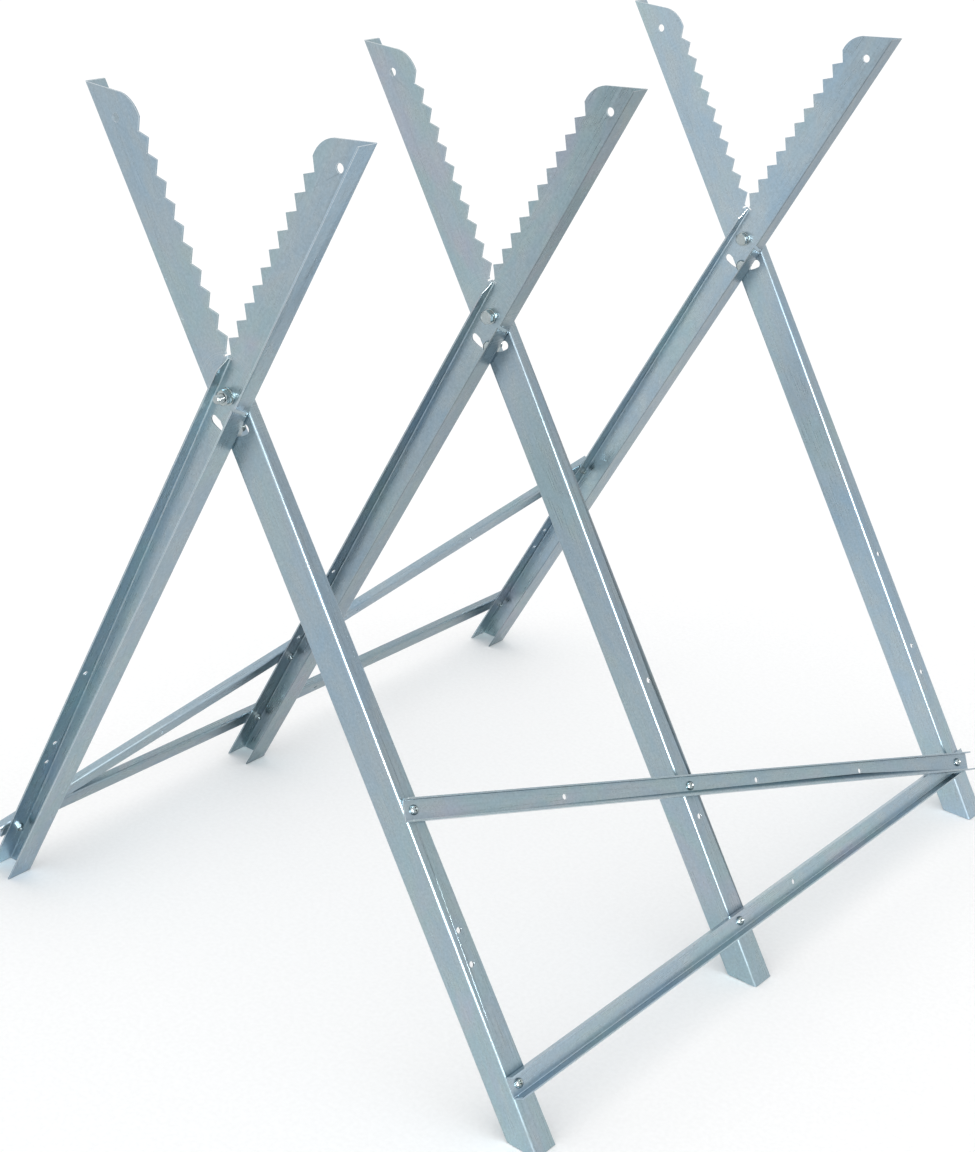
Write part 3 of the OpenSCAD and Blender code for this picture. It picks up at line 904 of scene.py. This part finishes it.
    def build(self, finishes: Finishes) -> None:
        """Build all bolts, nuts and washers and let them ride.

        Args:
            finishes: materials of the stand.
        """
        facings = {Place.FRONT: Facing.FRONT, Place.MIDDLE: Facing.REAR, Place.REAR: Facing.REAR}
        bolt, stop, nut = self.hex_bolt(self.pivot_grip), self.dome_bolt(self.stop_grip), self.hex_nut()
        seat, far = rise(-self.pivot_grip / 2.0), rise(self.pivot_grip / 2.0)
        stop_seat, stop_far = rise(-self.stop_grip / 2.0), rise(self.stop_grip / 2.0)
        washers = []
        for place, facing in facings.items():
            name, pivot = place.value, self.pivot_frame(place, facing)
            settle(set_pieces(f"threaded_pivot_bolt_{name}", bolt, [pivot @ seat], finishes.fastener),
                   f"pivot_bolt_{name}", "right_frame")
            settle(set_pieces(f"chamfered_pivot_nut_{name}", nut, [pivot @ far], finishes.fastener),
                   f"pivot_nut_{name}", "right_frame")
            settle(set_pieces(f"threaded_stop_bolt_{name}", stop, [self.stop_frame(place) @ stop_seat],
                              finishes.fastener), f"stop_bolt_{name}", "stop_bolts")
            gap = SIZES.leg_gap / 2.0 + SIZES.leg_sheet + SIZES.bolt_play + self.washer_sheet / 2.0
            flip = Matrix.Rotation(math.pi, 4, "X")
            washers += [pivot @ rise(gap), pivot @ rise(-gap) @ flip]
        settle(set_pieces("rolled_pivot_washers", self.washer(), washers, finishes.fastener), "pivot_washers",
               "right_frame")
        settle(set_pieces("chamfered_stop_nuts", nut, [self.stop_frame(place) @ stop_far for place in Place],
                          finishes.fastener), "stop_nuts", "stop_bolts")


def nut_mesh(name: str, flats: float, height: float, bore: float) -> bpy.types.Mesh:
    """Build a nut over the plane of Z zero, with both ends chamfered and its bore countersunk.

    Args:
        name: name of the mesh.
        flats: size across the flats.
        height: height of the nut.
        bore: radius of the bore.

    Returns:
        The mesh, in millimetres.
    """
    skin = Skin()
    crown = flats * CROWN_REACH
    skin.circle(bore, COUNTERSINK)
    skin.circle(bore, height - COUNTERSINK)
    skin.circle(bore + COUNTERSINK, height)
    skin.circle(crown, height)
    skin.hexagon(flats, height, 1.0, crown)
    skin.hexagon(flats, 0.0, -1.0, crown)
    skin.circle(crown, 0.0)
    skin.circle(bore + COUNTERSINK, 0.0)
    return to_mesh(name, skin.mesh(closed_loop=True))


def settle(piece: bpy.types.Object, node: str, body: str) -> None:
    """Let a piece stand for a node and ride on its body.

    Args:
        piece: dressed piece, in place.
        node: node that it stands for.
        body: body that carries it.
    """
    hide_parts(node)
    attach(piece, body)


@dataclass
class ScrewKit:
    """Five-millimetre pan-head screws and nuts that hold the bars of one side, in millimetres."""

    side: Side
    diameter: float = 5.0
    pitch: float = 0.8
    head_diameter: float = 9.6
    head: float = 3.4
    flats: float = 8.0
    nut: float = 4.0
    end: float = 2.5
    cross_length: float = 5.2
    cross_width: float = 1.1
    cross_depth: float = 1.9
    cross_overrun: float = 0.4
    length_flare: tuple[float, float] = (0.42, 1.12)
    width_flare: tuple[float, float] = (0.75, 1.08)
    root_inset: float = 0.6
    root_depth: float = 0.4
    head_break: float = 0.15
    crown_steps: int = 11
    crown_power: float = 0.85
    head_reach: float = 0.2
    plain_end: float = 0.6
    thread_start: float = 0.8
    play: float = 0.02

    def frames(self) -> list[tuple[Matrix, float]]:
        """Frames of the screws, with Z pointing outwards, and the height of the bars under their heads.

        Returns:
            Frame and height of each screw, in millimetres.
        """
        middle = SIZES.middle_y - SIZES.front_y if self.side is Side.RIGHT else SIZES.rear_y - SIZES.middle_y
        upper, lower, span, half = SIZES.upper_hole, SIZES.lower_hole, SIZES.span, SIZES.bar_width / 2.0
        places = [
            (0.0, upper, SIZES.bar_sheet + SIZES.lift(half)),
            (0.0, lower, SIZES.bar_sheet),
            (middle, upper + (lower - upper) * middle / span, SIZES.bar_sheet + SIZES.lift(middle + half)),
            (middle, lower, SIZES.bar_sheet),
            (span, lower, SIZES.bar_sheet + SIZES.lift(span + half)),
        ]
        turn = Matrix.Identity(4) if self.side is Side.RIGHT else Matrix.Rotation(math.pi, 4, "Z")
        bar = (turn @ Matrix.Translation((0.0, SIZES.front_y + SIZES.leg_gap / 2.0, SIZES.pivot_height))
               @ Matrix.Rotation(-math.radians(SIZES.leg_lean), 4, "Y")
               @ Matrix.Translation((SIZES.bar_side_offset, 0.0, 0.0))
               @ Matrix.Rotation(math.radians(SIZES.bar_side_taper), 4, "Y")
               @ Matrix.Translation((0.0, SIZES.hole_depth, 0.0)))
        outward = Matrix.Rotation(math.radians(90.0), 4, "Y")
        return [(bar @ Matrix.Translation((0.0, along, -drop)) @ outward, lift) for along, drop, lift in places]

    def cross(self) -> bpy.types.Object:
        """Build the tool that cuts the cross into a head: two tapered blades.

        Returns:
            The tool, in millimetres.
        """
        bm = bmesh.new()
        for turn in (0.0, 90.0):
            box = bmesh.ops.create_cube(bm, size=1.0)["verts"]
            for vert in box:
                deep = vert.co.z < 0.0
                level = 0 if deep else 1
                vert.co.x *= self.cross_length * self.length_flare[level]
                vert.co.y *= self.cross_width * self.width_flare[level]
                vert.co.z = self.head - self.cross_depth if deep else self.head + self.cross_overrun
            bmesh.ops.rotate(bm, verts=box, cent=(0.0, 0.0, 0.0), matrix=Matrix.Rotation(math.radians(turn), 3, "Z"))
        tool = bpy.data.objects.new("cross_tool", to_mesh("cross_tool", bm))
        bpy.context.scene.collection.objects.link(tool)
        return tool

    def crown(self) -> bpy.types.Mesh:
        """Build a pan head with a cross in its crown.

        Returns:
            The mesh, in millimetres.
        """
        skin = Skin()
        root, outer, broken = self.diameter / 2.0 - self.root_inset, self.head_diameter / 2.0, self.head_break
        skin.circle(root, -self.root_depth)
        skin.circle(root, 0.0)
        skin.circle(outer - broken, 0.0)
        for k in range(self.crown_steps):
            turn = math.radians(90.0 * k / self.crown_steps)
            skin.circle(outer * math.cos(turn) ** self.crown_power, broken + (self.head - broken) * math.sin(turn))
        blank = bpy.data.objects.new("head_blank", to_mesh("head_blank", skin.mesh()))
        bpy.context.scene.collection.objects.link(blank)
        tool = self.cross()
        cut = blank.modifiers.new("cross", "BOOLEAN")
        cut.operation = "DIFFERENCE"
        cut.solver = "EXACT"
        cut.use_self = True
        cut.object = tool
        graph = bpy.context.evaluated_depsgraph_get()
        mesh = bpy.data.meshes.new_from_object(blank.evaluated_get(graph))
        for spent in (blank, tool):
            bpy.data.objects.remove(spent)
        return mesh

    def shank(self, lift: float) -> bmesh.types.BMesh:
        """Build a threaded shank that reaches from the nut's end up into the head.

        Args:
            lift: height of the bars under the head.

        Returns:
            The mesh, in millimetres.
        """
        skin = Skin(steps=36)
        skin.circle(self.diameter / 2.0, -lift - self.head_reach)
        skin.circle(self.diameter / 2.0, self.plain_end)
        skin.thread(self.diameter, self.pitch, self.thread_start, SIZES.leg_sheet + self.nut + self.end)
        bm = skin.mesh()
        bmesh.ops.rotate(bm, verts=bm.verts, cent=(0.0, 0.0, 0.0), matrix=Matrix.Rotation(math.pi, 3, "X"))
        return bm

    def screw(self, lift: float) -> bpy.types.Mesh:
        """Build one screw around the plane of the legs' flange.

        Args:
            lift: height of the bars under the head.

        Returns:
            The mesh, in millimetres.
        """
        bm = self.shank(lift)
        first = len(bm.verts)
        bm.from_mesh(self.crown())
        bm.verts.ensure_lookup_table()
        bmesh.ops.translate(bm, verts=bm.verts[first:], vec=(0.0, 0.0, lift))
        return to_mesh("bar_screw", bm)

    def build(self, finishes: Finishes) -> None:
        """Build the screws and nuts of the side and let them ride.

        Args:
            finishes: materials of the stand.
        """
        side, frames = self.side.value, self.frames()
        joined = bmesh.new()
        for place, lift in frames:
            first = len(joined.verts)
            joined.from_mesh(self.screw(lift))
            joined.verts.ensure_lookup_table()
            bmesh.ops.transform(joined, matrix=place, verts=joined.verts[first:])
        screws = set_pieces(f"cross_head_screws_{side}", to_mesh("bar_screws", joined), [Matrix.Identity(4)],
                            finishes.fastener)
        settle(screws, f"{side}_bar_screws", f"{side}_frame")
        under = rise(-SIZES.leg_sheet) @ Matrix.Rotation(math.pi, 4, "X")
        nut = nut_mesh("screw_nut", self.flats, self.nut, self.diameter / 2.0 + self.play)
        nuts = set_pieces(f"chamfered_bar_nuts_{side}", nut, [place @ under for place, _ in frames],
                          finishes.fastener)
        settle(nuts, f"{side}_bar_nuts", f"{side}_frame")


@dataclass
class Studio:
    """Pale floor, soft lights and the camera, in metres, with the floor's drop in millimetres."""

    camera_place: Point = (1.2336, -1.5283, 1.1811)
    yaw: float = 0.68829
    pitch: float = 0.41672
    roll: float = 0.03173
    lens: float = 62.80
    shift: tuple[float, float] = (-0.0077, 0.0082)
    sensor: float = 36.0
    view_reach: float = 60.0
    floor_reach: float = 14.0
    floor_drop: float = 0.5
    fibre_scale: float = 220.0
    paper: tuple[Colour, Colour] = ((0.92, 0.92, 0.92), (0.95, 0.95, 0.95))
    sky_strength: float = 1.14
    sky_shade: float = 0.86
    shade_start: float = 0.55
    shade_direction: Point = (0.635, 0.706, 0.314)
    strip_place: Point = (2.0, -2.1, 0.91)
    strip_aim: Point = (0.15, -0.1, 0.4)
    strip_size: tuple[float, float] = (0.16, 2.0)
    strip_power: float = 155.0

    def floor(self) -> bpy.types.Object:
        """Lay the pale floor.

        Returns:
            The floor.
        """
        bm = bmesh.new()
        bmesh.ops.create_grid(bm, x_segments=8, y_segments=8, size=self.floor_reach)
        floor = bpy.data.objects.new("floor", to_mesh("floor", bm))
        floor.location.z = -self.floor_drop * MM
        bpy.context.scene.collection.objects.link(floor)
        shader = Shader("floor_paper")
        place = shader.add("ShaderNodeTexCoord").outputs["Object"]
        fibre = shader.add("ShaderNodeTexNoise", Vector=place, Scale=self.fibre_scale, Detail=1.0).outputs["Fac"]
        colour = shader.ramp(fibre, list(zip((0.3, 0.7), self.paper)))
        surface = shader.add("ShaderNodeBsdfPrincipled", Base_Color=colour, Roughness=1.0, Specular_IOR_Level=0.0)
        shader.add("ShaderNodeOutputMaterial", Surface=surface.outputs["BSDF"])
        floor.data.materials.append(shader.material)
        log.info("laid the floor")
        return floor

    def strip_lamp(self, floor: bpy.types.Object) -> None:
        """Hang a strip lamp that leans like the right legs, so that their bends shine along their whole length.

        Args:
            floor: floor, which the lamp leaves out.
        """
        data = bpy.data.lights.new("strip_lamp", "AREA")
        data.shape = "RECTANGLE"
        data.size, data.size_y = self.strip_size
        data.energy = self.strip_power
        place = Vector(self.strip_place)
        back = (place - Vector(self.strip_aim)).normalized()
        upward = -SIZES.grain_direction(Grain.RIGHT_LEG)
        across = upward.cross(back).normalized()
        turn = Matrix((across, back.cross(across), back)).transposed().to_4x4()
        lamp = bpy.data.objects.new("strip_lamp", data)
        lamp.matrix_world = Matrix.Translation(place) @ turn
        bpy.context.scene.collection.objects.link(lamp)
        unlit = bpy.data.collections.new("out_of_the_strip")
        unlit.objects.link(floor)
        unlit.collection_objects[0].light_linking.link_state = "EXCLUDE"
        lamp.light_linking.receiver_collection = unlit
        log.info("hung the strip lamp")

    def sky(self) -> None:
        """Make the soft white light that surrounds the stand, dimmer towards the rear right."""
        world = bpy.data.worlds.new("studio")
        bpy.context.scene.world = world
        world.use_nodes = True
        tree = world.node_tree
        background = tree.nodes["Background"]
        place = tree.nodes.new("ShaderNodeTexCoord")
        facing = tree.nodes.new("ShaderNodeVectorMath")
        facing.operation = "DOT_PRODUCT"
        facing.inputs[1].default_value = self.shade_direction
        shade = tree.nodes.new("ShaderNodeMapRange")
        shade.inputs["From Min"].default_value = self.shade_start
        shade.inputs["To Min"].default_value = self.sky_strength
        shade.inputs["To Max"].default_value = self.sky_strength * self.sky_shade
        tree.links.new(place.outputs["Generated"], facing.inputs[0])
        tree.links.new(facing.outputs["Value"], shade.inputs["Value"])
        tree.links.new(shade.outputs["Result"], background.inputs["Strength"])
        background.inputs["Color"].default_value = (1.0, 1.0, 1.0, 1.0)

    def camera(self) -> None:
        """Set up the camera at the photograph's viewing angle."""
        ahead = Vector((-math.sin(self.yaw) * math.cos(self.pitch), math.cos(self.yaw) * math.cos(self.pitch),
                        -math.sin(self.pitch)))
        right = Vector((math.cos(self.yaw), math.sin(self.yaw), 0.0))
        up = right.cross(ahead)
        across = right * math.cos(self.roll) + up * math.sin(self.roll)
        above = up * math.cos(self.roll) - right * math.sin(self.roll)
        data = bpy.data.cameras.new("camera")
        data.lens = self.lens
        data.sensor_width = self.sensor
        data.sensor_fit = "AUTO"
        data.shift_x, data.shift_y = self.shift
        data.clip_end = self.view_reach
        camera = bpy.data.objects.new("camera", data)
        turn = Matrix((across, above, -ahead)).transposed().to_4x4()
        camera.matrix_world = Matrix.Translation(Vector(self.camera_place)) @ turn
        bpy.context.scene.collection.objects.link(camera)
        bpy.context.scene.camera = camera
        log.info("set up the camera")

    def build(self) -> None:
        """Build the whole studio."""
        bpy.context.scene.view_settings.view_transform = "Standard"
        self.camera()
        self.strip_lamp(self.floor())
        self.sky()


def main() -> None:
    """Build the stand's looks piece by piece."""
    logging.basicConfig(level=logging.INFO)
    Studio().build()
    finishes = Finishes()
    for place in Place:
        LegPair(place).dress(finishes)
    for side in Side:
        BarSet(side).dress(finishes)
    BoltKit().build(finishes)
    for side in Side:
        ScrewKit(side).build(finishes)


if __name__ == "__main__":
    main()
